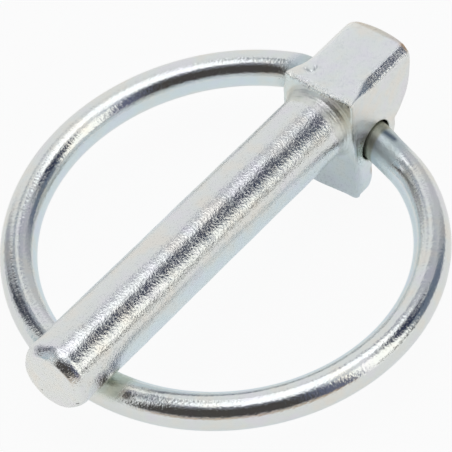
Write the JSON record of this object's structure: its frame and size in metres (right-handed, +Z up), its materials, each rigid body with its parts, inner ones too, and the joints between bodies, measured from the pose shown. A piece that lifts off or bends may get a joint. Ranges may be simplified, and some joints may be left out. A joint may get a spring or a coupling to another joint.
{
  "type": "lynch pin",
  "caption": "Lynch pin with a round bevelled shank, a forged hammer head with a toe, and a spring wire ring that turns in the head and closes across the shank.",
  "frame": {"origin": "on the shank's centre line, where the parallel shank meets the fillet of the head", "axes": "+X along the shank from the tip to the head, +Z up towards the flat top of the head, +Y to the side where the ring enters further back and higher"},
  "size_m": [0.0563, 0.049, 0.015],
  "materials": {
    "pin_zinc": "bright zinc plate over forged steel, faintly grainy",
    "ring_zinc": "bright zinc plate over drawn spring wire"
  },
  "bodies": {
    "pin": {"pin": "pin_zinc"},
    "ring": {"ring": "ring_zinc"}
  },
  "joints": [
    {"name": "ring_hinge", "type": "hinge", "parent": "pin", "child": "ring", "pos_m": [0.00625, 0, -0.0035], "axis": [-0.2233, -0.9602, -0.1675], "range_deg": [0, 340]}
  ]
}
